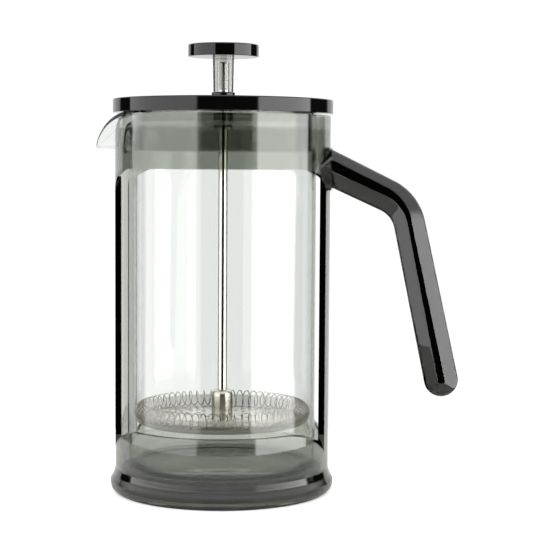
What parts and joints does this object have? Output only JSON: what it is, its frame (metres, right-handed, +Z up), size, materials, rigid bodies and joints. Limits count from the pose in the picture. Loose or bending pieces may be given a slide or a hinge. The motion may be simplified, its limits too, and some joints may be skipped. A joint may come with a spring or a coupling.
{
  "type": "french press",
  "caption": "Coffee press: glass beaker with drooping spout in an open smoke-clear frame with a two-run handle, flat lid, and plunger with steel mesh strainer.",
  "frame": {"origin": "centre of the foot ring's underside, on the axis of the beaker", "axes": "+Z up along the plunger, +X towards the handle, -X towards the spout"},
  "size_m": [0.1827, 0.1128, 0.2241],
  "materials": {
    "smoke_clear": "clear smoke-grey SAN, moulded and glossy",
    "smoke_dark": "dark smoke plastic, thick, glossy",
    "gloss_black": "glossy near-black plastic",
    "glass": "clear borosilicate glass",
    "steel": "turned and brushed stainless steel",
    "steel_polished": "polished stainless steel",
    "steel_mesh": "fine woven stainless wire cloth",
    "silicone": "translucent silicone",
    "rubber_dark": "matt dark elastomer"
  },
  "bodies": {
    "frame": {"frame": "smoke_clear", "handle": "smoke_dark", "handle_screws": "steel", "foot_ring": "rubber_dark", "beaker_cushion": "silicone"},
    "beaker": {"beaker": "glass"},
    "seal": {"lid_seal": "silicone"},
    "lid": {"lid_plate": "gloss_black", "lid_skirt": "smoke_clear", "rod_bush": "smoke_clear", "lid_collar": "gloss_black", "rod_clip": "steel"},
    "plunger": {"knob": "gloss_black", "knob_stem": "smoke_clear", "plunger_rod": "steel_polished", "rod_hub": "steel", "coil_plate": "steel", "coil_spring": "steel_polished", "mesh_screen": "steel_mesh", "cross_plate": "steel", "clamp_stud": "steel", "stack_nut": "steel"}
  },
  "joints": [
    {"name": "beaker_lift", "type": "slide", "parent": "frame", "child": "beaker", "axis": [0, 0, 1], "range_m": [0, 0.185]},
    {"name": "lid_lift", "type": "slide", "parent": "beaker", "child": "seal", "axis": [0, 0, 1], "range_m": [0, 0.165]},
    {"name": "lid_turn", "type": "hinge", "parent": "seal", "child": "lid", "pos_m": [0, 0, 0.19], "axis": [0, 0, 1], "continuous": true},
    {"name": "plunger_press", "type": "slide", "parent": "lid", "child": "plunger", "axis": [0, 0, 1], "range_m": [0, 0.124]}
  ]
}
